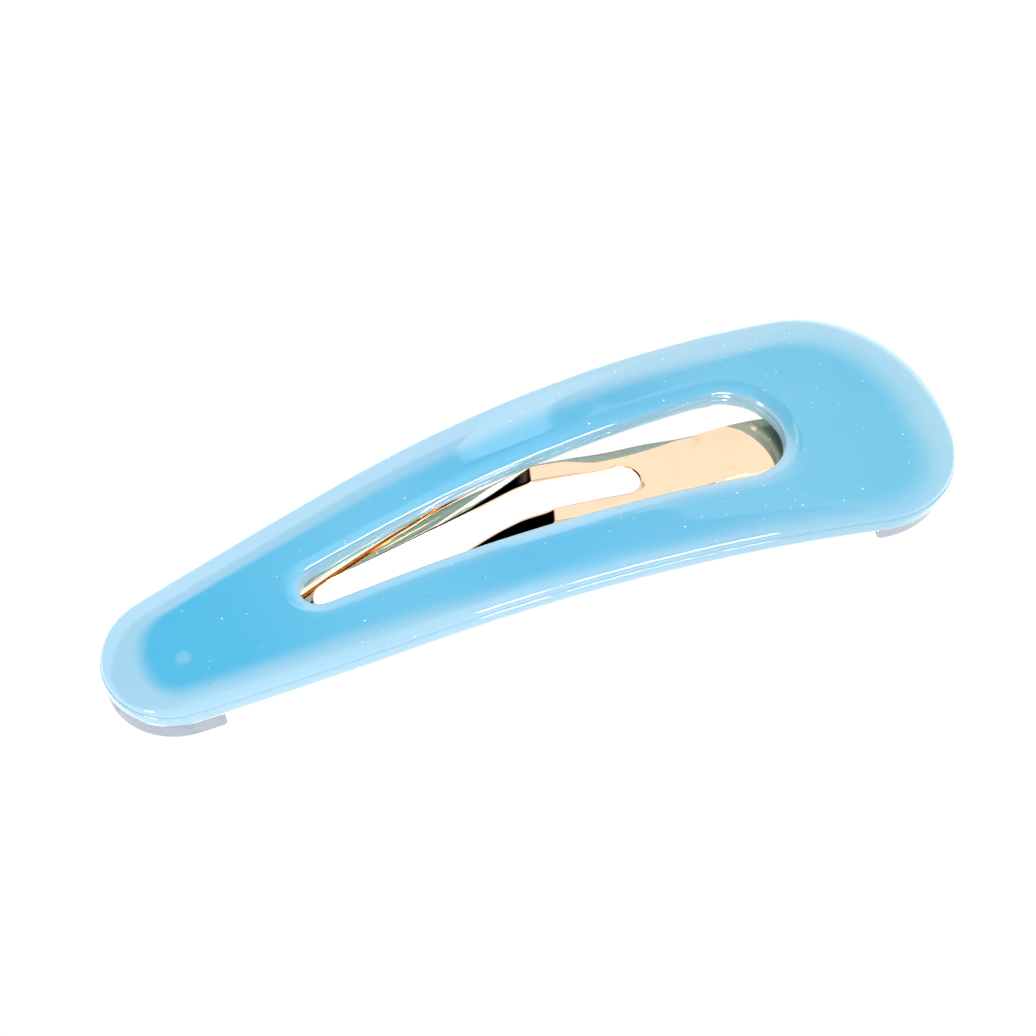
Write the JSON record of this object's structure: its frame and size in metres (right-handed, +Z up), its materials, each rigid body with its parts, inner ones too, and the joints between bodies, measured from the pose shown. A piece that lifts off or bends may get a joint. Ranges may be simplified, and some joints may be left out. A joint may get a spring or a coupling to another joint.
{
  "type": "snap hair clip",
  "caption": "Teardrop snap hair clip: a glossy arched resin ring over a spring metal frame, with a slotted tongue that snaps up into the frame or swings down to open.",
  "frame": {"origin": "middle of the clip's footprint, on the surface it lies on, under the two end lips", "axes": "+X along the clip from the narrow tip to the wide end, +Z up through the arched back, +Y across"},
  "size_m": [0.0839, 0.0258, 0.0105],
  "materials": {
    "resin": "glossy milky pale blue cast resin with fine glitter",
    "gold": "spring steel sheet plated a pale gold, mirror bright"
  },
  "bodies": {
    "clip": {"cover": "resin", "frame": "gold", "root_plate": "gold", "rivet": "gold"},
    "tongue": {"tongue": "gold"}
  },
  "joints": [
    {"name": "snap_open", "type": "hinge", "parent": "clip", "child": "tongue", "pos_m": [-0.0275, 0, 0.0031], "axis": [0, 1, 0], "range_deg": [0, 16]}
  ]
}
